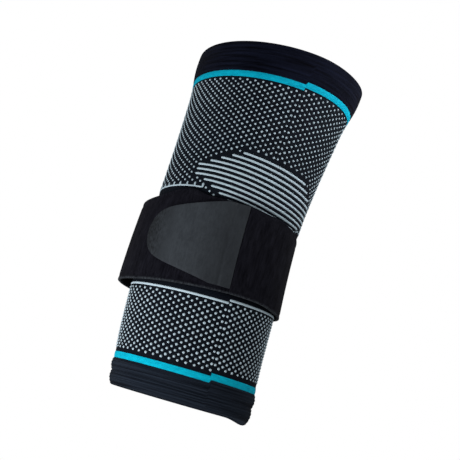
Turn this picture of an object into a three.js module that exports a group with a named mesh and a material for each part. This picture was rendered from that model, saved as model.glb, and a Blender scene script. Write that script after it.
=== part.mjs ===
// Knitted elbow sleeve with a wrap strap and a hook tab, in the form that it has when worn.
// Millimetres and degrees. Angles start at the front and grow to the right, heights at the lower rim.
// +Z runs up the sleeve's lower half, -Y is the front, with the tab, and the origin is on the axis at the
// elbow patch.
import * as THREE from 'three';

const { clamp, degToRad, lerp, smoothstep } = THREE.MathUtils;

// Sleeve
const sleeveLength = 216.9;
const elbowHeight = 135;
const depthToWidth = 0.95;
const knitWall = 2;
const pieceGap = 0.3;
const columnCount = 56;

// Half width of the sleeve's outside
const sections = [
  { place: 'lower rim', height: 0, halfWidth: 43 },
  { place: 'lower stripe', height: 15, halfWidth: 44.1 },
  { place: 'below the strap', height: 55, halfWidth: 44.9 },
  { place: 'elbow patch', height: 130, halfWidth: 45.4 },
  { place: 'upper dots', height: 184, halfWidth: 48.6 },
  { place: 'upper stripe', height: 203, halfWidth: 51.1 },
  { place: 'upper rim', height: sleeveLength, halfWidth: 52.5 },
];

// The sleeve's bend: what the axis and the knit's courses lean by above it
const bend = { from: 50, to: 156, axisSide: 0.11, axisBack: 0.1, courseSide: -0.02, courseBack: 0.137 };

// The strap draws the knit in between these heights, up to a lower one on the right
const squeeze = { from: 66, to: 122.5, ramp: 6, depth: 1.9, dip: 6, dipAngle: 95, dipSpan: 70 };

// The lower rim lies to the right and hangs lower there by a slope and a drop, which fade out at heights
const lowerRim = { aside: 1.3, asideFade: 40, slope: 0.026, slopeFade: 60 };
const lowerDrop = { depth: 2.2, angle: 104, span: 32, fade: 18 };

// The upper rim is drawn down on the right, which fades out below it
const upperDrop = { depth: 1, angle: 64, span: 43, fade: 14 };

// The courses are one spiral, which steps by its rise at the jog line
const spiral = { jogAngle: 20.5, jogWidth: 1.5, rise: 1.8 };

// Stripes and cuffs
const lowerStripe = { middle: 18.5, width: 4.4 };
const upperStripe = { middle: 196.6, width: 4 };
const stripeProud = 0.2;
const cuffProud = 0.4;
const cuffWall = 2.6;
const lowerRibs = { count: 8, depth: 0.4, rolls: 2, rollDepth: 0.8 };
const upperRibs = { count: 7, depth: 0.25, rolls: 1, rollDepth: 0.5 };
const rimSteps = 4;

// Wrap strap: round is the way gone by the left from the front, and an off is how far the inner face
// stands from the oval that the strap is wrapped on
const strapForm = 44.5;
const strapThickness = 1.6;
const strapEdgeRound = 0.5;
const strapColumns = 76;
const slabRows = 4;
const strapCourse = [
  { place: 'sewn end', round: -34, lower: 68.5, upper: 116.5, lowerOff: 0.4, upperOff: 0 },
  { place: 'under the tab', round: 0, lower: 67.7, upper: 118.4, lowerOff: 0.6, upperOff: 0 },
  { place: 'over the tab', round: 17, lower: 67.1, upper: 118.8, lowerOff: 1, upperOff: 0.4 },
  { place: 'left of the front', round: 34, lower: 66.4, upper: 121.4, lowerOff: 2, upperOff: 1.4 },
  { place: 'left corner', round: 60, lower: 64.8, upper: 116, lowerOff: 5.4, upperOff: 4.2 },
  { place: 'left', round: 90, lower: 63.8, upper: 113.8, lowerOff: 7.7, upperOff: 6.1 },
  { place: 'behind the left', round: 130, lower: 61.8, upper: 113, lowerOff: 5, upperOff: 4 },
  { place: 'behind', round: 180, lower: 63.2, upper: 113, lowerOff: 1.2, upperOff: 0.6 },
  { place: 'right', round: 270, lower: 64.3, upper: 111.4, lowerOff: 2.2, upperOff: -0.1 },
  { place: 'right corner', round: 295, lower: 65.8, upper: 114.2, lowerOff: 2.5, upperOff: 0.7 },
  { place: 'right of the front', round: 317, lower: 67.6, upper: 115.9, lowerOff: 2.6, upperOff: 2 },
  { place: 'end at the tab', round: 345, lower: 67.9, upper: 117.4, lowerOff: 2.8, upperOff: 2.1 },
];

// The strap's end, and the tab beside it, lean to the left by degrees for each millimetre up
const strapEnd = { round: 343.9, lean: 0.039, leansFrom: 317 };

// Hook tab: it narrows and drops from the front to a blunt round end, on the strap's first layer
const tab = { rightEdge: -15.6, tip: 54, middle: 94.2, halfHeight: 23.3, thickness: 1.8 };
const tabTaper = 0.185;
const tabDrop = 0.017;
const tabBluntness = 10;
const tabEdgeRound = 0.5;
const tabEndSteps = 14;
const tabEndTurn = 84;

const knitBlack = new THREE.MeshStandardMaterial({ color: 0x14171f, roughness: 0.9, metalness: 0 });
const cuffBlack = new THREE.MeshStandardMaterial({ color: 0x12141c, roughness: 0.9, metalness: 0 });
const stripeBlue = new THREE.MeshStandardMaterial({ color: 0x06a3bd, roughness: 0.8, metalness: 0 });
const strapBlack = new THREE.MeshStandardMaterial({ color: 0x151519, roughness: 0.95, metalness: 0 });
const tabGrey = new THREE.MeshStandardMaterial({ color: 0x33363b, roughness: 0.7, metalness: 0 });

// Even steps from one value to another, both included
function steps(from, to, count) {
  return Array.from({ length: count + 1 }, (_, index) => lerp(from, to, index / count));
}

// Smooth value of a table's column at a place between its rows, which go up by key
function between(table, key, column, place) {
  const last = table.length - 1;
  let row = 0;
  while (row < last - 1 && place > table[row + 1][key]) row += 1;
  const slopeAt = (index) => {
    const before = table[Math.max(index - 1, 0)];
    const after = table[Math.min(index + 1, last)];
    return (after[column] - before[column]) / (after[key] - before[key]);
  };
  const span = table[row + 1][key] - table[row][key];
  const t = (place - table[row][key]) / span;
  const eased = t * t * (3 - 2 * t);
  const bow = slopeAt(row) * t * (1 - t) ** 2 - slopeAt(row + 1) * t * t * (1 - t);
  return lerp(table[row][column], table[row + 1][column], eased) + span * bow;
}

// A smooth hump of height 1 round an angle
function hump(angle, middle, halfSpan) {
  return Math.cos(clamp((angle - middle) / halfSpan, -1, 1) * Math.PI / 2) ** 2;
}

function dropAt(angle, { depth, angle: middle, span }) {
  return depth * hump(angle, middle, span);
}

// How far a lean of 1, built up smoothly over the bend, has carried the axis at a height
function bendReach(height) {
  const span = bend.to - bend.from;
  const t = clamp((height - bend.from) / span, 0, 1);
  return span * (t ** 3 - t ** 4 / 2) + Math.max(height - bend.to, 0);
}

// Point of an oval section, sheared and tilted as the sleeve bends
function sectionPoint(angle, height, halfWidth, halfDepth) {
  const across = halfWidth * Math.sin(degToRad(angle));
  const away = -halfDepth * Math.cos(degToRad(angle));
  const reach = bendReach(height);
  const leaned = smoothstep(height, bend.from, bend.to);
  const aside = lowerRim.aside * (1 - smoothstep(height, 0, lowerRim.asideFade));
  const slope = lowerRim.slope * (1 - smoothstep(height, 0, lowerRim.slopeFade));
  const atBottom = 1 - smoothstep(height, 0, lowerDrop.fade);
  const atTop = smoothstep(height, sleeveLength - upperDrop.fade, sleeveLength);
  const hanging = slope * across + dropAt(angle, lowerDrop) * atBottom + dropAt(angle, upperDrop) * atTop;
  return new THREE.Vector3(
    bend.axisSide * reach + aside + across,
    bend.axisBack * reach + away,
    height - hanging - leaned * (bend.courseSide * across + bend.courseBack * away),
  );
}

function squeezeAt(angle, height) {
  const top = squeeze.to - squeeze.dip * hump(angle, squeeze.dipAngle, squeeze.dipSpan);
  const rising = smoothstep(height, squeeze.from, squeeze.from + squeeze.ramp);
  const falling = smoothstep(height, top - squeeze.ramp, top);
  return squeeze.depth * (rising - falling);
}

// Point at a distance out from the sleeve's outside
function sleevePoint(angle, height, out) {
  const halfWidth = between(sections, 'height', 'halfWidth', height) - squeezeAt(angle, height);
  return sectionPoint(angle, height, halfWidth + out, halfWidth * depthToWidth + out);
}

// Point at a distance out from the strap's inner face
function strapPoint(round, height, out) {
  const at = (column) => between(strapCourse, 'round', column, round);
  const share = (height - at('lower')) / (at('upper') - at('lower'));
  const off = lerp(at('lowerOff'), at('upperOff'), share) + out;
  return sectionPoint(-round, height, strapForm + off, strapForm * depthToWidth + off);
}

// Closed body over a row of outlines with equal counts, each up its outside and down its inside.
// The row runs to the right, and closes on itself or ends in two caps.
function skin(outlines, closesOnItself) {
  const count = outlines[0].length;
  const corners = [];
  const quad = (a, b, c, d) => corners.push(a, b, c, a, c, d);
  const joins = closesOnItself ? outlines.length : outlines.length - 1;
  for (let index = 0; index < joins; index += 1) {
    const here = index * count;
    const next = ((index + 1) % outlines.length) * count;
    for (let side = 0; side < count; side += 1) {
      const beside = (side + 1) % count;
      quad(here + side, next + side, next + beside, here + beside);
    }
  }
  if (!closesOnItself) {
    const end = joins * count;
    for (let side = 0; side < count / 2 - 1; side += 1) {
      const across = count - 1 - side;
      quad(side, side + 1, across - 1, across);
      quad(end + side, end + across, end + across - 1, end + side + 1);
    }
  }
  const geometry = new THREE.BufferGeometry().setFromPoints(outlines.flat());
  geometry.setIndex(corners);
  geometry.computeVertexNormals();
  return geometry;
}

// Ring of the sleeve over an outline of heights and outs, where share is the part that a point takes
// of the spiral's lift
function ring(outline) {
  const firstAngle = spiral.jogAngle + spiral.jogWidth / 2;
  const columns = steps(0, 1, columnCount).map((way) => {
    const angle = firstAngle + way * (360 - spiral.jogWidth);
    const lift = spiral.rise * (0.5 - way);
    return outline.map(({ height, out, share }) => sleevePoint(angle, height + lift * share, out));
  });
  return skin(columns, true);
}

// Outline of a plain wall through the given heights
function wall(heights, outside, inside) {
  const face = (out) => heights.map((height) => ({ height, out, share: 1 }));
  return [...face(outside), ...face(inside).reverse()];
}

function stripe({ middle, width }) {
  return ring(wall([middle - width / 2, middle + width / 2], stripeProud, -knitWall));
}

function sleeveBody() {
  const bottom = lowerStripe.middle + lowerStripe.width / 2 + pieceGap;
  const top = upperStripe.middle - upperStripe.width / 2 - pieceGap;
  const drawnIn = squeeze.from + squeeze.ramp;
  const easesFrom = squeeze.to - squeeze.dip - squeeze.ramp;
  const heights = [
    ...steps(bottom, squeeze.from, 3),
    ...steps(squeeze.from, drawnIn, 2).slice(1),
    ...steps(drawnIn, easesFrom, 2).slice(1),
    ...steps(easesFrom, squeeze.to, 4).slice(1),
    ...steps(squeeze.to, top, 4).slice(1),
  ];
  return ring(wall(heights, 0, -knitWall));
}

// Cuff from its edge at a stripe to its half-round rim, with fine ribs on broader rolls
function cuff(edge, rim, { count, depth, rolls, rollDepth }) {
  const inner = cuffProud - cuffWall;
  const rimRadius = cuffWall / 2;
  const rimCentre = rim - Math.sign(rim - edge) * rimRadius;
  const ribs = steps(0, 1, 2 * count).map((way, index) => ({
    height: lerp(edge, rimCentre, way),
    out: cuffProud + depth * (index % 2) + rollDepth * Math.abs(Math.sin(rolls * Math.PI * way)),
    share: 1 - way,
  }));
  const round = steps(0, Math.PI, rimSteps).slice(1).map((turn) => ({
    height: rimCentre + (rim - rimCentre) * Math.sin(turn),
    out: inner + rimRadius * (1 + Math.cos(turn)),
    share: 0,
  }));
  const outline = [...ribs, ...round, { height: edge, out: inner, share: 1 }];
  return ring(rim > edge ? outline : outline.reverse());
}

// Outline of a slab between two heights, with its outer edges taken off
function slabOutline(pointAt, lower, upper, thickness, edgeRound) {
  const heights = [lower, ...steps(lower + edgeRound, upper - edgeRound, slabRows), upper];
  const outside = heights.map((height) => {
    const isEdge = height === lower || height === upper;
    return pointAt(height, isEdge ? thickness - edgeRound : thickness);
  });
  const inside = heights.map((height) => pointAt(height, 0));
  return [...outside, ...inside.reverse()];
}

function leanAt(height) {
  return strapEnd.lean * (height - tab.middle);
}

function strapBand() {
  const leaning = (round) => smoothstep(round, strapEnd.leansFrom, strapEnd.round);
  const outlines = steps(strapEnd.round, strapCourse[0].round, strapColumns).map((round) => slabOutline(
    (height, out) => strapPoint(round + leaning(round) * leanAt(height), height, out),
    between(strapCourse, 'round', 'lower', round),
    between(strapCourse, 'round', 'upper', round),
    strapThickness,
    strapEdgeRound,
  ));
  return skin(outlines, false);
}

// Height of the tab's lower edge, with side -1, or of its upper edge, with side 1
function tabEdge(round, side) {
  const beyond = Math.max(round, 0);
  const half = (tab.halfHeight - tabTaper * beyond) * Math.sqrt(1 - (beyond / tab.tip) ** tabBluntness);
  return tab.middle - tabDrop * beyond + side * half;
}

function strapTab() {
  const seat = strapThickness + pieceGap;
  const rounds = [
    ...steps(tabEndTurn, 0, tabEndSteps).map((turn) => tab.tip * Math.sin(degToRad(turn))),
    ...steps(0, tab.rightEdge, 2).slice(1),
  ];
  const outlines = rounds.map((round) => slabOutline(
    (height, out) => strapPoint(round + leanAt(height), height, seat + out),
    tabEdge(round, -1),
    tabEdge(round, 1),
    tab.thickness,
    tabEdgeRound,
  ));
  return skin(outlines, false);
}

const pieces = [
  { name: 'sleeve_body', geometry: sleeveBody(), material: knitBlack },
  { name: 'upper_stripe', geometry: stripe(upperStripe), material: stripeBlue },
  { name: 'lower_stripe', geometry: stripe(lowerStripe), material: stripeBlue.clone() },
  {
    name: 'upper_cuff',
    geometry: cuff(upperStripe.middle + upperStripe.width / 2 + pieceGap, sleeveLength, upperRibs),
    material: cuffBlack,
  },
  {
    name: 'lower_cuff',
    geometry: cuff(lowerStripe.middle - lowerStripe.width / 2 - pieceGap, 0, lowerRibs),
    material: cuffBlack.clone(),
  },
  { name: 'strap_band', geometry: strapBand(), material: strapBlack },
  { name: 'strap_tab', geometry: strapTab(), material: tabGrey },
];

// The pieces are modelled from the lower rim up, and the group sets the elbow at the origin
const sleeve = new THREE.Group();
for (const { name, geometry, material } of pieces) {
  const mesh = new THREE.Mesh(geometry, material);
  mesh.name = name;
  sleeve.add(mesh);
}
const elbowReach = bendReach(elbowHeight);
sleeve.position.set(-bend.axisSide * elbowReach, -bend.axisBack * elbowReach, -elbowHeight);

export default sleeve;
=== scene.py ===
import math

import bpy
import numpy as np
from mathutils import Matrix, Vector


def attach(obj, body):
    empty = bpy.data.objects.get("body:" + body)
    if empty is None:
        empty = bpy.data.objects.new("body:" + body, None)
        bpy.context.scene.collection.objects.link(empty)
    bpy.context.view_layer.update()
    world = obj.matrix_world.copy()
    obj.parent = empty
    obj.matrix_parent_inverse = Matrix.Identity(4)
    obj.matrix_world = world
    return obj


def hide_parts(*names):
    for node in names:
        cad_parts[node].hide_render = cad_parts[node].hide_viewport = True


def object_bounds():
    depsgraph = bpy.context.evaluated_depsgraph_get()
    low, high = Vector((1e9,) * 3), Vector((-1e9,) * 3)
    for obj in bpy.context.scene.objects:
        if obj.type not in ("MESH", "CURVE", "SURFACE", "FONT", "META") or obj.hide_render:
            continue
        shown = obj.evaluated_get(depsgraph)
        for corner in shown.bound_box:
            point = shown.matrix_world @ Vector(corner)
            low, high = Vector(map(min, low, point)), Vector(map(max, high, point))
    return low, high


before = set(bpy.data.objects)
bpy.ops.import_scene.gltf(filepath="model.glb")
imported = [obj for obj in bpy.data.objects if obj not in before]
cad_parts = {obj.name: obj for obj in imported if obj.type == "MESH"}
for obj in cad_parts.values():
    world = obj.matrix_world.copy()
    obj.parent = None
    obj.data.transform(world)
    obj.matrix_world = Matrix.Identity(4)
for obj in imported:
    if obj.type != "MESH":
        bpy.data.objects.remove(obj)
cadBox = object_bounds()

# Millimetres and degrees. Angles start at the front and grow to the right, heights at the lower rim.
mm = 0.001
rng = np.random.default_rng(11)

# The sleeve is an oval tube: its widths, what its axis and courses lean by, and how its rims hang
tube = {
    "elbowHeight": 135,
    "sleeveLength": 216.9,
    "depthToWidth": 0.95,
    # height, half width of the knit's outside
    "sections": [(0, 43), (15, 44.1), (55, 44.9), (130, 45.4), (184, 48.6), (203, 51.1), (216.9, 52.5)],
    "bendFrom": 50,
    "bendTo": 156,
    "axisSide": 0.11,
    "axisBack": 0.1,
    "courseSide": -0.02,
    "courseBack": 0.137,
    # the strap draws the knit in between these heights, up to a lower one on the right
    "squeezeFrom": 66,
    "squeezeTo": 122.5,
    "squeezeRamp": 6,
    "squeezeDepth": 1.9,
    "squeezeDip": 6,
    "dipAngle": 95,
    "dipSpan": 70,
    # the lower rim lies to the right and hangs lower there, each up to a height
    "rimAside": 1.3,
    "asideFade": 40,
    "rimSlope": 0.026,
    "slopeFade": 60,
    "rimDrop": 2.2,
    "dropAngle": 104,
    "dropSpan": 32,
    "dropFade": 18,
    # the upper rim is drawn down on the right
    "topDrop": 1.0,
    "topDropAngle": 64,
    "topDropSpan": 43,
    "topFade": 14,
}


def smoothstep(value, low, high):
    t = np.clip((value - low) / (high - low), 0, 1)
    return t * t * (3 - 2 * t)


# smooth value of a table's column, where the first column goes up
def between(table, column, place):
    keys = np.array([row[0] for row in table], float)
    values = np.array([row[column] for row in table], float)
    index = np.arange(len(keys))
    before = np.maximum(index - 1, 0)
    after = np.minimum(index + 1, len(keys) - 1)
    slopes = (values[after] - values[before]) / (keys[after] - keys[before])
    place = np.clip(place, keys[0], keys[-1])
    row = np.clip(np.searchsorted(keys, place) - 1, 0, len(keys) - 2)
    span = keys[row + 1] - keys[row]
    t = (place - keys[row]) / span
    eased = t * t * (3 - 2 * t)
    bow = slopes[row] * t * (1 - t) ** 2 - slopes[row + 1] * t * t * (1 - t)
    return values[row] + (values[row + 1] - values[row]) * eased + span * bow


# a smooth hump of height 1 round an angle
def hump(angle, middle, halfSpan):
    return np.cos(np.clip((angle - middle) / halfSpan, -1, 1) * math.pi / 2) ** 2


# how far a lean of 1, built up over the bend, has carried the axis at a height
def bendReach(height):
    span = tube["bendTo"] - tube["bendFrom"]
    t = np.clip((height - tube["bendFrom"]) / span, 0, 1)
    return span * (t ** 3 - t ** 4 / 2) + np.maximum(height - tube["bendTo"], 0)


# point of an oval section, in metres from the elbow
def sectionPoint(angle, height, halfWidth, halfDepth):
    across = halfWidth * np.sin(np.radians(angle))
    away = -halfDepth * np.cos(np.radians(angle))
    reach = bendReach(height) - bendReach(tube["elbowHeight"])
    leaned = smoothstep(height, tube["bendFrom"], tube["bendTo"])
    aside = tube["rimAside"] * (1 - smoothstep(height, 0, tube["asideFade"]))
    slope = tube["rimSlope"] * (1 - smoothstep(height, 0, tube["slopeFade"]))
    drop = tube["rimDrop"] * (1 - smoothstep(height, 0, tube["dropFade"]))
    top = tube["sleeveLength"]
    topDrop = tube["topDrop"] * smoothstep(height, top - tube["topFade"], top)
    hanging = slope * across + drop * hump(angle, tube["dropAngle"], tube["dropSpan"])
    hanging = hanging + topDrop * hump(angle, tube["topDropAngle"], tube["topDropSpan"])
    x = tube["axisSide"] * reach + aside + across
    y = tube["axisBack"] * reach + away
    z = height - tube["elbowHeight"] - hanging
    z = z - leaned * (tube["courseSide"] * across + tube["courseBack"] * away)
    return np.stack(np.broadcast_arrays(x, y, z), -1) * mm


# point at a distance out from the sleeve's outside
def sleevePoint(angle, height, out):
    low, ramp = tube["squeezeFrom"], tube["squeezeRamp"]
    high = tube["squeezeTo"] - tube["squeezeDip"] * hump(angle, tube["dipAngle"], tube["dipSpan"])
    drawn = smoothstep(height, low, low + ramp) - smoothstep(height, high - ramp, high)
    halfWidth = between(tube["sections"], 1, height) - tube["squeezeDepth"] * drawn
    return sectionPoint(angle, height, halfWidth + out, halfWidth * tube["depthToWidth"] + out)


# The knit is one spiral of courses that steps by its rise at the jog line
knit = {
    "jogAngle": 20.5,
    "rise": 1.8,
    "wales": 216,
    "coursePitch": 0.9,
    # height, how far the wales drift round the sleeve
    "drift": [(20, -4.5), (62, -4.5), (125, -10), (150, -2), (169, 4.5), (192, 10), (216, 10)],
    "driftSteps": 12,
    # the courses sag on the right, at the elbow
    "sag": 7.6,
    "sagMiddle": 68.5,
    "sagHalf": 115,
    "sagStarts": (112.6, 126),
    "sagEnds": (128, 200),
}


def driftAt(turn, height):
    return between(knit["drift"], 1, height) * (1 - np.cos(np.radians(turn)))


def sagAt(angle, height):
    side = (angle - knit["sagMiddle"] + 180) % 360 - 180
    side = np.clip(side / knit["sagHalf"], -1, 1)
    zone = smoothstep(height, *knit["sagStarts"]) * (1 - smoothstep(height, *knit["sagEnds"]))
    return knit["sag"] * np.cos(side * math.pi / 2) ** 2 * zone


# angle and height of a course, at a turn to the right from the jog line
def knitSpot(turn, course, share=1.0):
    height = course + share * knit["rise"] * (0.5 - turn / 360)
    angle = knit["jogAngle"] + turn + driftAt(turn, height)
    return angle, height - sagAt(angle, height)


def knitPoint(turn, course, out=0.0, share=1.0):
    angle, height = knitSpot(turn, course, share)
    return sleevePoint(angle, height, out)


# turn at which a course comes to an angle, found in steps because the drift changes with it
def turnTo(angle, course):
    turn = angle - knit["jogAngle"]
    for _ in range(knit["driftSteps"]):
        turn = angle - knit["jogAngle"] - driftAt(turn, course)
    return turn


# Modelling helpers
def onlySelect(piece):
    bpy.ops.object.select_all(action="DESELECT")
    piece.select_set(True)
    bpy.context.view_layer.objects.active = piece


# a grid laid over a surface: pointAt takes the shares of its width and height, and stitches scales its UV map
def wrapGrid(name, columns, rows, pointAt, stitches):
    bpy.ops.object.select_all(action="DESELECT")
    bpy.ops.mesh.primitive_grid_add(x_subdivisions=columns, y_subdivisions=rows, size=1)
    piece = bpy.context.object
    piece.name = name
    piece.data.name = name
    flat = np.empty(len(piece.data.vertices) * 3)
    piece.data.vertices.foreach_get("co", flat)
    flat = flat.reshape(-1, 3)
    laid = pointAt(flat[:, 0] + 0.5, flat[:, 1] + 0.5)
    piece.data.vertices.foreach_set("co", laid.ravel())
    corners = piece.data.uv_layers.active.data
    uv = np.empty(len(corners) * 2)
    corners.foreach_get("uv", uv)
    uv = uv.reshape(-1, 2) * np.array(stitches, float)
    corners.foreach_set("uv", uv.ravel())
    piece.data.update()
    return piece


fineSeam = 0.005
wideSeam = 0.02


def mergeSeam(piece, distance):
    onlySelect(piece)
    bpy.ops.object.mode_set(mode="EDIT")
    bpy.ops.mesh.select_all(action="SELECT")
    bpy.ops.mesh.remove_doubles(threshold=distance * mm)
    bpy.ops.object.mode_set(mode="OBJECT")


def fillEnds(piece):
    onlySelect(piece)
    bpy.ops.object.mode_set(mode="EDIT")
    bpy.ops.mesh.select_all(action="SELECT")
    bpy.ops.mesh.fill_holes(sides=0)
    bpy.ops.object.mode_set(mode="OBJECT")


# a wall behind the outer face
def thicken(piece, wall):
    onlySelect(piece)
    solid = piece.modifiers.new("wall", "SOLIDIFY")
    solid.thickness = wall * mm
    solid.offset = -1
    solid.use_even_offset = True
    bpy.ops.object.modifier_apply(modifier=solid.name)


def roundEdges(piece, width, segments=3, sharpAbove=50):
    onlySelect(piece)
    bevel = piece.modifiers.new("edges", "BEVEL")
    bevel.width = width * mm
    bevel.segments = segments
    bevel.limit_method = "ANGLE"
    bevel.angle_limit = math.radians(sharpAbove)
    bevel.use_clamp_overlap = True
    bpy.ops.object.modifier_apply(modifier=bevel.name)


def joinAll(pieces, name):
    bpy.ops.object.select_all(action="DESELECT")
    for piece in pieces:
        piece.select_set(True)
    bpy.context.view_layer.objects.active = pieces[0]
    bpy.ops.object.join()
    joined = bpy.context.object
    joined.name = name
    joined.data.name = name
    return joined


def finishPiece(piece, material, slot, *nodes, smoothBelow=60):
    onlySelect(piece)
    bpy.ops.object.shade_smooth_by_angle(angle=math.radians(smoothBelow))
    piece.data.materials.clear()
    piece.data.materials.append(material)
    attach(piece, "root")
    if nodes:
        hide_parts(*nodes)
    return piece


# Node helpers
def addNode(tree, kind, inputs=None, **settings):
    made = tree.nodes.new(kind)
    for name, value in settings.items():
        setattr(made, name, value)
    for socket, value in (inputs or {}).items():
        if isinstance(value, bpy.types.NodeSocket):
            tree.links.new(value, made.inputs[socket])
        else:
            made.inputs[socket].default_value = value
    return made


def mathOf(tree, operation, *values):
    return addNode(tree, "ShaderNodeMath", dict(enumerate(values)), operation=operation).outputs[0]


def mixColour(tree, factor, first, second):
    made = addNode(tree, "ShaderNodeMix", {0: factor, 6: first, 7: second}, data_type="RGBA")
    return made.outputs[2]


def spread(tree, value, low, high, newLow, newHigh):
    sockets = {0: value, 1: low, 2: high, 3: newLow, 4: newHigh}
    return addNode(tree, "ShaderNodeMapRange", sockets).outputs[0]


def newGroup(name, inputs, outputs):
    group = bpy.data.node_groups.new(name, "ShaderNodeTree")
    for socket, kind in inputs.items():
        group.interface.new_socket(name=socket, in_out="INPUT", socket_type="NodeSocket" + kind)
    for socket, kind in outputs.items():
        group.interface.new_socket(name=socket, in_out="OUTPUT", socket_type="NodeSocket" + kind)
    start = group.nodes.new("NodeGroupInput")
    end = group.nodes.new("NodeGroupOutput")
    return group, start.outputs, end.inputs


def placeGroup(tree, group, inputs):
    return addNode(tree, "ShaderNodeGroup", inputs, node_tree=group).outputs


# plain knit: a V of two yarn legs in each stitch of the UV map
def makeStitchGroup():
    group, given, result = newGroup(
        "knit stitches", {"Stitch": "Vector"}, {"Height": "Float", "Leg": "Float"}
    )
    place = addNode(group, "ShaderNodeSeparateXYZ", {0: given["Stitch"]}).outputs
    side = mathOf(group, "ABSOLUTE", mathOf(group, "SUBTRACT", mathOf(group, "FRACT", place[0]), 0.5))
    course = mathOf(group, "FRACT", mathOf(group, "ADD", place[1], mathOf(group, "MULTIPLY", side, 1.1)))
    yarn = mathOf(group, "SINE", mathOf(group, "MULTIPLY", course, math.pi))
    leg = mathOf(group, "SINE", mathOf(group, "MULTIPLY", side, 2 * math.pi))
    leg = mathOf(group, "MAXIMUM", leg, 0.0)
    height = mathOf(group, "MULTIPLY", yarn, mathOf(group, "MULTIPLY_ADD", leg, 0.65, 0.35))
    group.links.new(height, result["Height"])
    group.links.new(mathOf(group, "POWER", height, 1.5), result["Leg"])
    return group


# loose fibres and slow changes of shade in a yarn
def makeFibreGroup():
    group, given, result = newGroup(
        "yarn fibres", {"Place": "Vector", "Fineness": "Float"}, {"Shade": "Float", "Height": "Float"}
    )
    fine = addNode(
        group,
        "ShaderNodeTexNoise",
        {"Vector": given["Place"], "Scale": given["Fineness"], "Detail": 3.0, "Roughness": 0.6},
    ).outputs[0]
    slowScale = mathOf(group, "MULTIPLY", given["Fineness"], 0.06)
    slow = addNode(
        group,
        "ShaderNodeTexNoise",
        {"Vector": given["Place"], "Scale": slowScale, "Detail": 2.0, "Roughness": 0.5},
    ).outputs[0]
    shade = mathOf(group, "ADD", mathOf(group, "MULTIPLY", fine, 0.6), mathOf(group, "MULTIPLY", slow, 0.4))
    group.links.new(shade, result["Shade"])
    group.links.new(fine, result["Height"])
    return group


# fine lines along one direction of the UV map, for streaked and ribbed cloth
def makeStreakGroup():
    group, given, result = newGroup(
        "cloth streaks", {"Cloth": "Vector", "Stretch": "Vector"}, {"Streak": "Float"}
    )
    place = addNode(
        group, "ShaderNodeVectorMath", {0: given["Cloth"], 1: given["Stretch"]}, operation="MULTIPLY"
    ).outputs[0]
    noise = addNode(
        group,
        "ShaderNodeTexNoise",
        {"Vector": place, "Scale": 1.0, "Detail": 4.0, "Roughness": 0.62},
    ).outputs[0]
    group.links.new(spread(group, noise, 0.34, 0.66, 0.0, 1.0), result["Streak"])
    return group


stitchGroup = makeStitchGroup()
fibreGroup = makeFibreGroup()
streakGroup = makeStreakGroup()


def newMaterial(name):
    material = bpy.data.materials.new(name)
    material.use_nodes = True
    tree = material.node_tree
    shader = tree.nodes["Principled BSDF"]
    return material, tree, shader


def objectPlace(tree):
    return addNode(tree, "ShaderNodeTexCoord").outputs["Object"]


def clothPlace(tree):
    return addNode(tree, "ShaderNodeUVMap", uv_map="UVMap").outputs[0]


# knitted yarn of one colour, from its shadowed to its lit shade
def makeKnit(name, look):
    material, tree, shader = newMaterial(name)
    cloth = clothPlace(tree)
    stitch = placeGroup(tree, stitchGroup, {"Stitch": cloth})
    streak = placeGroup(tree, streakGroup, {"Cloth": cloth, "Stretch": look["streaks"]})["Streak"]
    fibre = placeGroup(tree, fibreGroup, {"Place": objectPlace(tree), "Fineness": look["fineness"]})
    tone = mathOf(tree, "MULTIPLY", stitch["Leg"], spread(tree, fibre["Shade"], 0.3, 0.7, 0.55, 1.0))
    streaked = mathOf(tree, "MULTIPLY", streak, look["streakShare"])
    tone = mathOf(tree, "MULTIPLY_ADD", tone, 1 - look["streakShare"], streaked)
    tree.links.new(mixColour(tree, tone, look["shadow"], look["lit"]), shader.inputs["Base Color"])
    rough = spread(tree, fibre["Height"], 0.3, 0.7, look["roughness"] - 0.08, look["roughness"] + 0.05)
    tree.links.new(rough, shader.inputs["Roughness"])
    height = mathOf(tree, "ADD", stitch["Height"], mathOf(tree, "MULTIPLY", fibre["Height"], 0.25))
    height = mathOf(tree, "ADD", height, streaked)
    bump = addNode(
        tree,
        "ShaderNodeBump",
        {"Height": height, "Strength": look["bump"], "Distance": look["relief"] * mm},
    )
    tree.links.new(bump.outputs[0], shader.inputs["Normal"])
    shader.inputs["Specular IOR Level"].default_value = look["gloss"]
    shader.inputs["Sheen Weight"].default_value = look["sheen"]
    shader.inputs["Sheen Roughness"].default_value = 0.5
    return material


# pale yarn of the dots, lines and elbow stripes, where each stitch has its own shade, which in some pieces
# also holds painted light and shade
def makePaleYarn(look):
    material, tree, shader = newMaterial("pale yarn")
    fibre = placeGroup(tree, fibreGroup, {"Place": objectPlace(tree), "Fineness": look["fineness"]})
    own = addNode(tree, "ShaderNodeAttribute", attribute_name="stitchShade").outputs["Fac"]
    tone = mathOf(tree, "MULTIPLY", own, spread(tree, fibre["Shade"], 0.3, 0.7, 0.6, 1.0))
    tree.links.new(mixColour(tree, tone, look["shadow"], look["lit"]), shader.inputs["Base Color"])
    rough = spread(tree, fibre["Height"], 0.3, 0.7, look["roughness"] - 0.1, look["roughness"])
    tree.links.new(rough, shader.inputs["Roughness"])
    bump = addNode(
        tree,
        "ShaderNodeBump",
        {"Height": fibre["Height"], "Strength": look["bump"], "Distance": look["relief"] * mm},
    )
    tree.links.new(bump.outputs[0], shader.inputs["Normal"])
    shader.inputs["Specular IOR Level"].default_value = look["gloss"]
    return material
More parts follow.
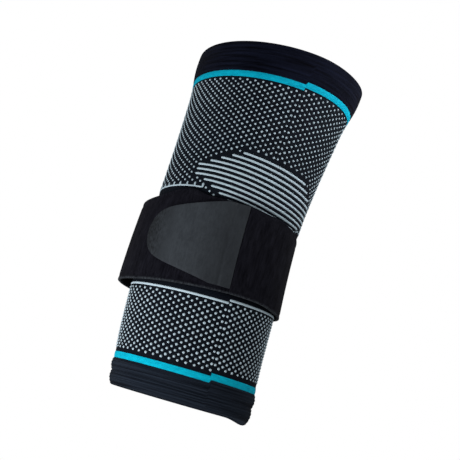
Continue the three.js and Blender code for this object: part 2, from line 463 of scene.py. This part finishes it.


# napped or woven cloth with streaks, on a UV map in millimetres, with painted light and shade in another
# colour towards one edge and towards its end
def makeStreakedCloth(name, look):
    material, tree, shader = newMaterial(name)
    cloth = clothPlace(tree)
    streak = placeGroup(tree, streakGroup, {"Cloth": cloth, "Stretch": look["streaks"]})["Streak"]
    broad = placeGroup(tree, streakGroup, {"Cloth": cloth, "Stretch": look["clouds"]})["Streak"]
    fibre = placeGroup(tree, fibreGroup, {"Place": objectPlace(tree), "Fineness": look["fineness"]})
    tone = mathOf(tree, "MULTIPLY", streak, look["streakShare"])
    tone = mathOf(tree, "MULTIPLY_ADD", broad, look["cloudShare"], tone)
    tone = mathOf(tree, "MULTIPLY_ADD", fibre["Shade"], 1 - look["streakShare"] - look["cloudShare"], tone)
    colour = mixColour(tree, tone, look["shadow"], look["lit"])
    # painted light and shade: the colour goes towards the hem colour near one edge, unevenly with the
    # streaks, and near the end
    alongPaintedEdge = addNode(tree, "ShaderNodeSeparateXYZ", {0: cloth}).outputs[look["paintedEdgeAxis"]]
    paintedEdgeMask = spread(tree, alongPaintedEdge, *look["paintedEdgeSpan"], look["paintedEdgeShare"], 0.0)
    paintedEndMask = spread(tree, alongPaintedEdge, *look["paintedEndSpan"], 0.0, look["endShare"])
    changed = mathOf(tree, "MAXIMUM", mathOf(tree, "MULTIPLY", paintedEdgeMask, streak), paintedEndMask)
    tree.links.new(mixColour(tree, changed, colour, look["hem"]), shader.inputs["Base Color"])
    rough = spread(tree, tone, 0.2, 0.8, look["roughness"] + 0.05, look["roughness"] - 0.08)
    tree.links.new(rough, shader.inputs["Roughness"])
    height = mathOf(tree, "ADD", mathOf(tree, "MULTIPLY", streak, look["ribShare"]), fibre["Height"])
    bump = addNode(
        tree,
        "ShaderNodeBump",
        {"Height": height, "Strength": look["bump"], "Distance": look["relief"] * mm},
    )
    tree.links.new(bump.outputs[0], shader.inputs["Normal"])
    shader.inputs["Specular IOR Level"].default_value = look["gloss"]
    shader.inputs["Sheen Weight"].default_value = look["sheen"]
    shader.inputs["Sheen Roughness"].default_value = 0.45
    return material


groundKnit = makeKnit("black knit", {
    "shadow": (0.001, 0.0017, 0.0036, 1),
    "lit": (0.004, 0.0062, 0.0115, 1),
    "streaks": (0.05, 0.6, 1.0),
    "streakShare": 0.2,
    "fineness": 1800.0,
    "roughness": 0.85,
    "gloss": 0.06,
    "sheen": 0.0,
    "bump": 0.7,
    "relief": 0.3,
})

stripeLook = {
    "shadow": (0.0, 0.215, 0.32, 1),
    "lit": (0.0012, 0.485, 0.648, 1),
    "streaks": (0.3, 0.5, 1.0),
    "streakShare": 0.35,
    "fineness": 1800.0,
    "roughness": 0.8,
    "gloss": 0.04,
    "sheen": 0.0,
    "bump": 0.6,
    "relief": 0.25,
}
lowerStripeKnit = makeKnit("lower turquoise knit", stripeLook)
# the upper stripe gets a darker copy of the turquoise yarn: painted shade
upperStripeShadedKnit = makeKnit("upper turquoise knit", {
    **stripeLook,
    "shadow": (0.0, 0.17, 0.262, 1),
    "lit": (0.0004, 0.39, 0.535, 1),
})

# a darker copy of the cuff knit: painted shade on the upper cuff
upperCuffKnit = makeKnit("upper cuff knit", {
    "shadow": (0.0, 0.0, 0.0006, 1),
    "lit": (0.0045, 0.006, 0.0145, 1),
    "streaks": (0.04, 0.3, 1.0),
    "streakShare": 0.8,
    "fineness": 1500.0,
    "roughness": 0.85,
    "gloss": 0.02,
    "sheen": 0.008,
    "bump": 0.6,
    "relief": 0.25,
})

# a lighter copy of the cuff knit: painted light on the lower cuff, which also has paler streaks of its own
lowerCuffKnit = makeKnit("lower cuff knit", {
    "shadow": (0.0003, 0.0006, 0.0025, 1),
    "lit": (0.019, 0.027, 0.041, 1),
    "streaks": (0.015, 0.42, 1.0),
    "streakShare": 0.75,
    "fineness": 1500.0,
    "roughness": 0.85,
    "gloss": 0.03,
    "sheen": 0.006,
    "bump": 0.8,
    "relief": 0.4,
})

paleYarn = makePaleYarn({
    "shadow": (0.16, 0.21, 0.24, 1),
    "lit": (0.35, 0.437, 0.492, 1),
    "fineness": 2600.0,
    "roughness": 0.85,
    "gloss": 0.15,
    "bump": 0.5,
    "relief": 0.15,
})

strapVelour = makeStreakedCloth("black velour", {
    "shadow": (0.0004, 0.0004, 0.0012, 1),
    "lit": (0.0074, 0.0075, 0.0114, 1),
    "streaks": (0.9, 0.2, 1.0),
    "streakShare": 0.45,
    "clouds": (0.2, 0.1, 1.0),
    "cloudShare": 0.4,
    # paler at the lower edge: a painted highlight where the hem catches the light
    "hem": (0.03, 0.035, 0.041, 1),
    "paintedEdgeAxis": 1,
    "paintedEdgeSpan": (1.5, 4.0),
    "paintedEdgeShare": 1.0,
    "paintedEndSpan": (45.0, 49.0),
    "endShare": 0.0,
    "fineness": 2200.0,
    "roughness": 0.92,
    "gloss": 0.03,
    "sheen": 0.01,
    "bump": 0.55,
    "relief": 0.25,
    "ribShare": 0.6,
})

tabCloth = makeStreakedCloth("grey hook cloth", {
    "shadow": (0.0088, 0.0107, 0.014, 1),
    "lit": (0.0323, 0.0386, 0.0458, 1),
    "streaks": (0.9, 0.25, 1.0),
    "streakShare": 0.25,
    "clouds": (0.14, 0.06, 1.0),
    "cloudShare": 0.25,
    # darker at the tip and towards the right edge: painted shade
    "hem": (0.004, 0.005, 0.0065, 1),
    "paintedEdgeAxis": 0,
    "paintedEdgeSpan": (0.0, 24.0),
    "paintedEdgeShare": 1.9,
    "paintedEndSpan": (34.0, 50.0),
    "endShare": 0.44,
    "fineness": 2200.0,
    "roughness": 0.72,
    "gloss": 0.12,
    "sheen": 0.0,
    "bump": 0.4,
    "relief": 0.15,
    "ribShare": 1.0,
})
print("materials made")

# Turquoise stripes, by the heights of their middles. The pieces beside them tuck in under their edges
bands = {
    "lowerStripe": {"middle": 18.5, "width": 4.4},
    "upperStripe": {"middle": 196.6, "width": 4.0},
    "stripeProud": 0.2,
    "stripeCrown": 0.2,
    "stripeWall": 2.0,
    "stripeColumns": 216,
    "stripeRows": 8,
    "tuck": 0.4,
}

# Sleeve knit: rows as far apart as the spiral rises, so that the ends of the courses meet at the jog line
sleeve = {"columns": 162, "wall": 2.0}


def edgeOf(stripe, side):
    return bands[stripe]["middle"] + side * bands[stripe]["width"] / 2


def makeSleeve():
    bottom = edgeOf("lowerStripe", 1) - bands["tuck"]
    rows = round((edgeOf("upperStripe", -1) + bands["tuck"] - bottom) / knit["rise"])
    length = rows * knit["rise"]
    piece = wrapGrid(
        "sleeve_knit",
        sleeve["columns"],
        rows,
        lambda across, up: knitPoint(across * 360, bottom + up * length),
        (knit["wales"], length / knit["coursePitch"]),
    )
    mergeSeam(piece, wideSeam)
    thicken(piece, sleeve["wall"])
    return finishPiece(piece, groundKnit, "knit", "sleeve_body")


sleeveKnit = makeSleeve()
print("sleeve knit:", len(sleeveKnit.data.polygons), "faces")


# turquoise ring with square ends that step past each other at the jog line
def makeStripe(name, stripe, material, node):
    low = edgeOf(stripe, -1)
    width = bands[stripe]["width"]
    outerRows = bands["stripeRows"]
    # shares of the width and outs, up the outside, down the inside and back to the start
    outline = [(step / outerRows, 1.0) for step in range(outerRows + 1)]
    outline += [(1.0, 0.0), (0.0, 0.0), (0.0, 1.0)]
    shares = np.array([share for share, _ in outline])
    outside = np.array([face for _, face in outline])

    def pointAt(across, up):
        row = np.rint(up * (len(outline) - 1)).astype(int)
        crown = bands["stripeCrown"] * np.sin(math.pi * shares[row])
        out = np.where(outside[row] > 0, bands["stripeProud"] + crown, -bands["stripeWall"])
        return knitPoint(across * 360, low + shares[row] * width, out)

    stitches = (knit["wales"], width / knit["coursePitch"] * (len(outline) - 1) / outerRows)
    piece = wrapGrid(name, bands["stripeColumns"], len(outline) - 1, pointAt, stitches)
    mergeSeam(piece, fineSeam)
    fillEnds(piece)
    return finishPiece(piece, material, "stripe_knit", node)


lowerStripe = makeStripe("lower_stripe_knit", "lowerStripe", lowerStripeKnit, "lower_stripe")
upperStripe = makeStripe("upper_stripe_knit", "upperStripe", upperStripeShadedKnit, "upper_stripe")
print("stripes made")

# Ribbed cuffs
cuffs = {
    "columns": 180,
    "proud": 0.4,
    "wall": 2.6,
    "jogWidth": 1.5,
    "ribSteps": 8,
    "rimSteps": 10,
    "innerSteps": 4,
    "lower": {"ribs": 8, "ribDepth": 0.25, "rolls": 2, "rollDepth": 0.8},
    "upper": {"ribs": 7, "ribDepth": 0.08, "rolls": 1, "rollDepth": 0.5},
}


# closed outline of a cuff: heights, outs and shares of the spiral's lift
def cuffOutline(edge, rim, form):
    inner = cuffs["proud"] - cuffs["wall"]
    radius = cuffs["wall"] / 2
    rimCentre = rim - math.copysign(radius, rim - edge)
    rows = []
    ribRows = form["ribs"] * cuffs["ribSteps"]
    for step in range(ribRows + 1):
        way = step / ribRows
        rib = form["ribDepth"] * (0.5 - 0.5 * math.cos(2 * math.pi * form["ribs"] * way))
        roll = form["rollDepth"] * abs(math.sin(form["rolls"] * math.pi * way))
        rows.append((edge + (rimCentre - edge) * way, cuffs["proud"] + rib + roll, 1 - way))
    for step in range(1, cuffs["rimSteps"] + 1):
        turn = math.pi * step / cuffs["rimSteps"]
        height = rimCentre + (rim - rimCentre) * math.sin(turn)
        rows.append((height, inner + radius * (1 + math.cos(turn)), 0.0))
    for step in range(1, cuffs["innerSteps"] + 1):
        way = 1 - step / cuffs["innerSteps"]
        rows.append((edge + (rimCentre - edge) * way, inner, 1 - way))
    rows.append(rows[0])
    return np.array(rows)


def makeCuff(name, edge, rim, form, material, node):
    outline = cuffOutline(edge, rim, form)
    if rim < edge:
        outline = outline[::-1]
    columns = cuffs["columns"]
    gap = cuffs["jogWidth"]

    # the last column lies on the first one, across the jog line
    def pointAt(across, up):
        column = np.rint(across * columns)
        way = np.where(column < columns, column / (columns - 1), 0.0)
        turn = gap / 2 + way * (360 - gap)
        height, out, share = outline[np.rint(up * (len(outline) - 1)).astype(int)].T
        return knitPoint(turn, height, out, share)

    rowLength = np.hypot(np.diff(outline[:, 0]), np.diff(outline[:, 1])).sum()
    piece = wrapGrid(
        name, columns, len(outline) - 1, pointAt, (knit["wales"], rowLength / knit["coursePitch"])
    )
    mergeSeam(piece, fineSeam)
    return finishPiece(piece, material, "cuff_knit", node)


lowerCuff = makeCuff(
    "lower_cuff_knit",
    edgeOf("lowerStripe", -1) + bands["tuck"],
    0,
    cuffs["lower"],
    lowerCuffKnit,
    "lower_cuff",
)
upperCuff = makeCuff(
    "upper_cuff_knit",
    edgeOf("upperStripe", 1) - bands["tuck"],
    tube["sleeveLength"],
    cuffs["upper"],
    upperCuffKnit,
    "upper_cuff",
)
print("cuffs made")

# Elbow patch of pale stripes, by the angle and course of its middle
patch = {
    "middleAngle": 26.5,
    "middleCourse": 134.5,
    "pitch": 2.895,
    "width": 1.35,
    "crown": 0.3,
    # half widths from the middle stripe out to the last one
    "halfAngles": [62.5, 62.5, 53.2, 45.6, 38.0, 30.5],
    "sideMargin": 2.4,
    "endMargin": 2.3,
    "rowMargin": 2.0,
    "shades": (0.7, 0.88),
}
lastPatchRow = len(patch["halfAngles"]) - 1
patchRows = range(-lastPatchRow, lastPatchRow + 1)

# Pale lines at the edges of the dotted zones
lines = {
    "crown": 0.3,
    # the lower line gets lighter shades than the others: painted light where the strap's shadow falls on it
    "lower": {"course": 64.1, "width": 1.5, "fromAngle": 20.5, "toAngle": 380.5, "shades": (1.15, 1.35)},
    "upper": {"course": 124.5, "width": 1.1, "fromAngle": 79.0, "toAngle": 334.0, "shades": (0.82, 1.0)},
}

ridgeForm = {
    "rows": 8,
    "fewestColumns": 8,
    "columnsPerDegree": 1.8,
    "sunk": 0.15,
    "wall": 0.5,
    "endRound": 0.7,
    "endShare": 0.15,
    "stitchDip": 0.1,
}


# low ridge of pale stitches along a course, with rounded ends
def makeRidge(name, course, fromTurn, toTurn, width, crown, share):
    columns = max(ridgeForm["fewestColumns"], round((toTurn - fromTurn) * ridgeForm["columnsPerDegree"]))

    def pointAt(across, up):
        turn = fromTurn + across * (toTurn - fromTurn)
        side = 2 * up - 1
        toEnd = np.minimum(turn - fromTurn, toTurn - turn) / ridgeForm["endRound"]
        taper = np.sqrt(np.clip(1 - (1 - np.clip(toEnd, 0, 1)) ** 2, ridgeForm["endShare"], 1))
        wave = np.abs(np.sin(math.pi * turn * knit["wales"] / 360))
        stitch = 1 - ridgeForm["stitchDip"] + ridgeForm["stitchDip"] * wave
        edge = side ** 4
        out = crown * stitch * taper * (1 - edge) - ridgeForm["sunk"] * edge
        return knitPoint(turn, course + side * taper * width / 2, out, share)

    stitches = ((toTurn - fromTurn) * knit["wales"] / 360, width / knit["coursePitch"])
    piece = wrapGrid(name, columns, ridgeForm["rows"], pointAt, stitches)
    thicken(piece, ridgeForm["wall"])
    return piece


# each vertex gets its stitch's shade of the pale yarn: a random tone within a range, where some pieces'
# ranges hold painted light and shade
def giveShades(piece, shades):
    attribute = piece.data.attributes.new("stitchShade", "FLOAT", "POINT")
    attribute.data.foreach_set("value", np.asarray(shades, np.float32))


def shadeAlong(piece, shades):
    giveShades(piece, rng.uniform(*shades, len(piece.data.vertices)))


def patchHalf(row):
    return patch["halfAngles"][abs(row)]


def patchCourse(row):
    return patch["middleCourse"] + row * patch["pitch"]


def makePatch():
    stripes = []
    for row in patchRows:
        course = patchCourse(row)
        fromTurn = turnTo(patch["middleAngle"] - patchHalf(row), course)
        toTurn = turnTo(patch["middleAngle"] + patchHalf(row), course)
        name = "elbow_stripe_%d" % row
        stripes.append(makeRidge(name, course, fromTurn, toTurn, patch["width"], patch["crown"], 0.0))
    piece = joinAll(stripes, "elbow_stripes")
    shadeAlong(piece, patch["shades"])
    return finishPiece(piece, paleYarn, "light_yarn")


elbowStripes = makePatch()


def makeLine(name, line):
    fromTurn = turnTo(line["fromAngle"], line["course"])
    toTurn = turnTo(line["toAngle"], line["course"])
    piece = makeRidge(name, line["course"], fromTurn, toTurn, line["width"], lines["crown"], 1.0)
    shadeAlong(piece, line["shades"])
    return finishPiece(piece, paleYarn, "light_yarn")


lowerLine = makeLine("lower_line", lines["lower"])
upperLine = makeLine("upper_line", lines["upper"])
print("elbow stripes and lines made")

# Dots: pale stitches in rows, each row set half a step on from the next
dots = {
    "perRound": 56,
    "firstShare": 0.25,
    "halfWidth": 0.88,
    "halfLength": 0.82,
    "height": 0.5,
    "segments": 8,
    "rings": 6,
    "cutAt": -0.02,
    "sunk": 0.06,
    "sizeSpread": 0.05,
    "placeSpread": 0.06,
    # the lower rows get lighter shades than the upper rows: painted light, as more light falls on the lower
    # part
    "lowerRows": {"first": 61.8, "last": 24.0, "count": 22, "size": 1.0, "shades": (0.73, 0.97)},
    "upperRows": {"first": 193.0, "last": 126.4, "count": 43, "size": 0.86, "shades": (0.42, 0.63)},
    # the row at the upper line stands on it as ticks
    "tickLength": 1.7,
    "tickDrop": 0.6,
    # dots that go on down the patch's edge below the line
    "tailAngle": -22.7,
    "tailCourse": 124.7,
    "tailStepAngle": 3.8,
    "tailStepCourse": -1.6,
    "tailCount": 6,
}


# one dot, as a flat dome of unit size
def makeDotForm():
    bpy.ops.object.select_all(action="DESELECT")
    bpy.ops.mesh.primitive_uv_sphere_add(segments=dots["segments"], ring_count=dots["rings"], radius=1)
    form = bpy.context.object
    bpy.ops.object.mode_set(mode="EDIT")
    bpy.ops.mesh.select_all(action="SELECT")
    cut = (0, 0, dots["cutAt"])
    bpy.ops.mesh.bisect(plane_co=cut, plane_no=(0, 0, 1), clear_inner=True, use_fill=True)
    bpy.ops.object.mode_set(mode="OBJECT")
    points = np.array([vertex.co for vertex in form.data.vertices])
    # the cut leaves its corners and faces in any order, so they are sorted
    order = np.lexsort(points.T)
    newIndex = np.argsort(order)
    faces = []
    for face in form.data.polygons:
        corners = newIndex[list(face.vertices)]
        faces.append(np.roll(corners, -corners.argmin()).tolist())
    bpy.data.objects.remove(form)
    return points[order], sorted(faces)


dotPoints, dotFaces = makeDotForm()


def dotRows(rows):
    turns, courses, last = [], [], []
    for row, course in enumerate(np.linspace(rows["first"], rows["last"], rows["count"])):
        start = dots["firstShare"] + 0.5 * (row % 2)
        rowTurns = (np.arange(dots["perRound"]) + start) * 360 / dots["perRound"]
        turns.append(rowTurns)
        courses.append(np.full(dots["perRound"], course))
        last.append(np.full(dots["perRound"], row == rows["count"] - 1))
    return np.concatenate(turns), np.concatenate(courses), np.concatenate(last)


# true where a dot would come into the elbow patch or its black margin
def inPatch(turn, course):
    angle, height = knitSpot(turn, course)
    side = np.abs((angle - patch["middleAngle"] + 180) % 360 - 180)
    inside = np.zeros(len(angle), bool)
    for row in patchRows:
        stripeHeight = patchCourse(row) - sagAt(angle, patchCourse(row))
        margin = patch["endMargin"] if abs(row) == lastPatchRow else patch["rowMargin"]
        near = np.abs(height - stripeHeight) < margin
        inside |= near & (side < patchHalf(row) + patch["sideMargin"])
    return inside


def onUpperLine(turn, course):
    angle, _ = knitSpot(turn, course)
    side = (angle - lines["upper"]["fromAngle"]) % 360
    return side < lines["upper"]["toAngle"] - lines["upper"]["fromAngle"] + 1


# dots at turns and courses, laid on the knit as one mesh
def layDots(name, turns, courses, lengths, rows):
    count = len(turns)
    turns = turns + rng.normal(0, dots["placeSpread"], count)
    courses = courses + rng.normal(0, dots["placeSpread"] / 2, count)
    place = knitPoint(turns, courses, -dots["sunk"])
    aside = knitPoint(turns + 0.5, courses) - knitPoint(turns - 0.5, courses)
    along = knitPoint(turns, courses + 0.5) - knitPoint(turns, courses - 0.5)
    out = np.cross(aside, along)
    aside /= np.linalg.norm(aside, axis=1, keepdims=True)
    out /= np.linalg.norm(out, axis=1, keepdims=True)
    along = np.cross(out, aside)
    size = rows["size"] * (1 + rng.normal(0, dots["sizeSpread"], count))[:, None, None]
    across = dotPoints[None, :, 0, None] * aside[:, None, :] * dots["halfWidth"]
    up = dotPoints[None, :, 1, None] * along[:, None, :] * lengths[:, None, None]
    proud = dotPoints[None, :, 2, None] * out[:, None, :] * dots["height"]
    points = place[:, None, :] + (across + up + proud) * size * mm
    step = len(dotPoints)
    faces = [[corner + index * step for corner in face] for index in range(count) for face in dotFaces]
    mesh = bpy.data.meshes.new(name)
    mesh.from_pydata(points.reshape(-1, 3).tolist(), [], faces)
    piece = bpy.data.objects.new(name, mesh)
    bpy.context.scene.collection.objects.link(piece)
    giveShades(piece, np.repeat(rng.uniform(*rows["shades"], count), step))
    return finishPiece(piece, paleYarn, "light_yarn", smoothBelow=75)


def makeLowerDots():
    rows = dots["lowerRows"]
    turns, courses, _ = dotRows(rows)
    return layDots("lower_dots", turns, courses, np.full(len(turns), dots["halfLength"]), rows)


def makeUpperDots():
    rows = dots["upperRows"]
    turns, courses, lastRow = dotRows(rows)
    keep = ~inPatch(turns, courses) & (~lastRow | onUpperLine(turns, courses))
    turns, courses, lastRow = turns[keep], courses[keep], lastRow[keep]
    lengths = np.where(lastRow, dots["tickLength"], dots["halfLength"])
    courses = courses - np.where(lastRow, dots["tickDrop"], 0)
    # the tails at both edges of the patch
    steps = np.arange(dots["tailCount"])
    tailCourses = dots["tailCourse"] + steps * dots["tailStepCourse"]
    leftAngles = dots["tailAngle"] + steps * dots["tailStepAngle"]
    rightAngles = 2 * patch["middleAngle"] - leftAngles
    for angles in (leftAngles, rightAngles):
        tailTurns = turnTo(angles, tailCourses) % 360
        turns = np.concatenate([turns, tailTurns])
        courses = np.concatenate([courses, tailCourses])
        lengths = np.concatenate([lengths, np.full(len(steps), dots["halfLength"])])
    return layDots("upper_dots", turns, courses, lengths, rows)


lowerDots = makeLowerDots()
upperDots = makeUpperDots()
print("dots made:", (len(lowerDots.data.vertices) + len(upperDots.data.vertices)) // len(dotPoints))

# Wrap strap: wound is the angle gone round by the left from the front
strap = {
    "form": 44.5,
    "thickness": 1.6,
    "columns": 230,
    "rows": 28,
    "edgeRound": 0.35,
    "hemInset": 2.4,
    "hemWidth": 0.7,
    "hemDepth": 0.25,
    # how much closer the rows lie at the edges
    "rowCrowding": 0.7,
    "clothWidth": 49,
    "lengthSteps": 400,
    # wound, lower edge, upper edge, and how far the inner face stands off at each
    "course": [
        (-34, 68.5, 116.5, 0.4, 0),
        (0, 67.7, 118.4, 0.6, 0),
        (17, 67.1, 118.8, 1, 0.4),
        (34, 66.4, 121.4, 2, 1.4),
        (60, 64.8, 116, 5.4, 4.2),
        (90, 63.8, 113.8, 7.7, 6.1),
        (130, 61.8, 113, 5.0, 4.0),
        (180, 63.2, 113, 1.2, 0.6),
        (270, 64.3, 111.4, 2.2, -0.1),
        (295, 65.8, 114.2, 2.5, 0.7),
        (317, 67.6, 115.9, 2.6, 2),
        (345, 67.9, 117.4, 2.8, 2.1),
    ],
    # the end, and the tab beside it, lean to the left by degrees for each millimetre up
    "end": 343.9,
    "lean": 0.039,
    "leansFrom": 317,
    "middle": 94.2,
}


# point at a distance out from the strap's inner face
def strapPoint(wound, height, out):
    lower, upper, lowerOff, upperOff = (between(strap["course"], column, wound) for column in (1, 2, 3, 4))
    share = (height - lower) / (upper - lower)
    off = lowerOff + (upperOff - lowerOff) * share + out
    return sectionPoint(-wound, height, strap["form"] + off, strap["form"] * tube["depthToWidth"] + off)


def leanAt(height):
    return strap["lean"] * (height - strap["middle"])


def makeStrap():
    first, last = strap["course"][0][0], strap["end"]

    # rows lie closer at the edges, for the sewn hems
    def pointAt(across, up):
        wound = last + across * (first - last)
        lower = between(strap["course"], 1, wound)
        upper = between(strap["course"], 2, wound)
        eased = up - strap["rowCrowding"] * np.sin(2 * math.pi * up) / (2 * math.pi)
        height = lower + (upper - lower) * eased
        toEdge = np.minimum(height - lower, upper - height)
        hem = strap["hemDepth"] * np.exp(-((toEdge - strap["hemInset"]) / strap["hemWidth"]) ** 2)
        wound = wound + smoothstep(wound, strap["leansFrom"], last) * leanAt(height)
        return strapPoint(wound, height, strap["thickness"] - hem)

    size = (strapLength(first, last), strap["clothWidth"])
    piece = wrapGrid("strap_velour", strap["columns"], strap["rows"], pointAt, size)
    thicken(piece, strap["thickness"])
    roundEdges(piece, strap["edgeRound"])
    return finishPiece(piece, strapVelour, "strap_velour", "strap_band", smoothBelow=40)


def strapLength(first, last):
    wound = np.linspace(first, last, strap["lengthSteps"])
    middle = (between(strap["course"], 1, wound) + between(strap["course"], 2, wound)) / 2
    path = strapPoint(wound, middle, strap["thickness"] / 2)
    return np.linalg.norm(np.diff(path, axis=0), axis=1).sum() / mm


strapPiece = makeStrap()
print("strap made")

# Hook tab: it narrows from its root to a blunt round end, and lies on the strap's first layer
tab = {
    "rightEdge": -15.6,
    "tip": 54,
    "halfHeight": 23.3,
    "taper": 0.185,
    "drop": 0.017,
    "bluntness": 10,
    "tipShare": 0.15,
    # how much closer the columns lie at the tip
    "columnCrowding": 1.3,
    "clothSize": (58, 47),
    "seat": 1.7,
    "thickness": 2.0,
    # the strap's end under it shows as a shallow crease
    "creaseAt": -6.0,
    "creaseSpan": 1.2,
    "creaseDepth": 0.55,
    "columns": 110,
    "rows": 32,
    "edgeRound": 0.12,
}


def makeTab():
    # across runs from the tip to the right edge
    def pointAt(across, up):
        wound = tab["tip"] + (tab["rightEdge"] - tab["tip"]) * across ** tab["columnCrowding"]
        beyond = np.maximum(wound, 0)
        end = np.sqrt(np.clip(1 - (beyond / tab["tip"]) ** tab["bluntness"], tab["tipShare"] ** 2, 1))
        half = (tab["halfHeight"] - tab["taper"] * beyond) * end
        height = strap["middle"] - tab["drop"] * beyond + half * (2 * up - 1)
        crease = tab["creaseDepth"] * np.exp(-((wound - tab["creaseAt"]) / tab["creaseSpan"]) ** 2)
        return strapPoint(wound + leanAt(height), height, tab["seat"] + tab["thickness"] - crease)

    piece = wrapGrid("tab_cloth", tab["columns"], tab["rows"], pointAt, tab["clothSize"])
    thicken(piece, tab["thickness"])
    roundEdges(piece, tab["edgeRound"])
    return finishPiece(piece, tabCloth, "hook_tab", "strap_tab", smoothBelow=40)


tabPiece = makeTab()
print("tab made")

# Camera as in the photo: a long lens from a little below, rolled
view = {
    "aim": (1.78, -3.27, -23.75),
    "distance": 900,
    "lookUp": 0.1381,
    "roll": 0.2544,
    "lens": 113.6,
    "sensor": 36,
}


def makeCamera():
    forward = Vector((0, math.cos(view["lookUp"]), math.sin(view["lookUp"])))
    level = Vector((1, 0, 0))
    upright = Vector((0, -math.sin(view["lookUp"]), math.cos(view["lookUp"])))
    right = math.cos(view["roll"]) * level + math.sin(view["roll"]) * upright
    up = -math.sin(view["roll"]) * level + math.cos(view["roll"]) * upright
    place = Vector(view["aim"]) * mm - forward * view["distance"] * mm
    bpy.ops.object.camera_add(location=place)
    camera = bpy.context.object
    turned = Matrix((right, up, -forward)).transposed().to_4x4()
    camera.matrix_world = Matrix.Translation(place) @ turned
    camera.data.lens = view["lens"]
    camera.data.sensor_width = view["sensor"]
    bpy.context.scene.camera = camera


makeCamera()

# Soft studio light on a white ground
studio = {
    "floorDrop": 0.5,
    "floorSize": 1.8,
    "floorSides": 96,
    "floorTones": ((0.90, 0.90, 0.90, 1), (0.94, 0.94, 0.94, 1)),
    "floorGlow": 0.35,
    "skyLight": 0.38,
    "lamps": [
        {"name": "key lamp", "place": (-0.45, -0.35, -0.4), "size": 0.4, "power": 5.6},
        {"name": "front lamp", "place": (0.0, -1.3, -0.1), "size": 1.0, "power": 4},
        # lights the sleeve's upper right side alone
        {
            "name": "side lamp",
            "place": (0.24, -0.06, 0.2),
            "size": 0.15,
            "power": 0.21,
            "aim": (0.03, 0, 0.08),
            "spread": 60,
        },
    ],
}


def makeStudio():
    for lamp in studio["lamps"]:
        bpy.ops.object.light_add(type="AREA", location=lamp["place"])
        light = bpy.context.object
        light.name = lamp["name"]
        light.data.size = lamp["size"]
        light.data.energy = lamp["power"]
        light.data.spread = math.radians(lamp.get("spread", 180))
        towards = Vector(lamp.get("aim", (0, 0, 0))) - Vector(lamp["place"])
        light.rotation_euler = towards.to_track_quat("-Z", "Y").to_euler()
    floorHeight = cadBox[0].z - studio["floorDrop"]
    bpy.ops.mesh.primitive_circle_add(
        vertices=studio["floorSides"],
        radius=studio["floorSize"] / 2,
        fill_type="NGON",
        location=(0, 0, floorHeight),
    )
    floor = bpy.context.object
    floor.name = "floor"
    material, tree, shader = newMaterial("pale floor")
    noise = addNode(tree, "ShaderNodeTexNoise", {"Vector": objectPlace(tree), "Scale": 3.0}).outputs[0]
    tone = mixColour(tree, noise, *studio["floorTones"])
    tree.links.new(tone, shader.inputs["Base Color"])
    shader.inputs["Roughness"].default_value = 0.9
    # a little glow that only the camera sees, so that the floor stays pale
    camera = addNode(tree, "ShaderNodeLightPath").outputs["Is Camera Ray"]
    shader.inputs["Emission Color"].default_value = (1, 1, 1, 1)
    tree.links.new(mathOf(tree, "MULTIPLY", camera, studio["floorGlow"]), shader.inputs["Emission Strength"])
    floor.data.materials.append(material)
    world = bpy.data.worlds.new("white studio")
    bpy.context.scene.world = world
    world.use_nodes = True
    tree = world.node_tree
    tree.nodes.clear()
    seen = addNode(tree, "ShaderNodeBackground", {"Color": (1, 1, 1, 1), "Strength": 1.0})
    lit = addNode(tree, "ShaderNodeBackground", {"Color": (1, 1, 1, 1), "Strength": studio["skyLight"]})
    camera = addNode(tree, "ShaderNodeLightPath").outputs["Is Camera Ray"]
    mixed = addNode(tree, "ShaderNodeMixShader", {0: camera, 1: lit.outputs[0], 2: seen.outputs[0]})
    out = addNode(tree, "ShaderNodeOutputWorld", {"Surface": mixed.outputs[0]})
    out.is_active_output = True
    bpy.context.scene.view_settings.view_transform = "Standard"


makeStudio()
print("studio made")
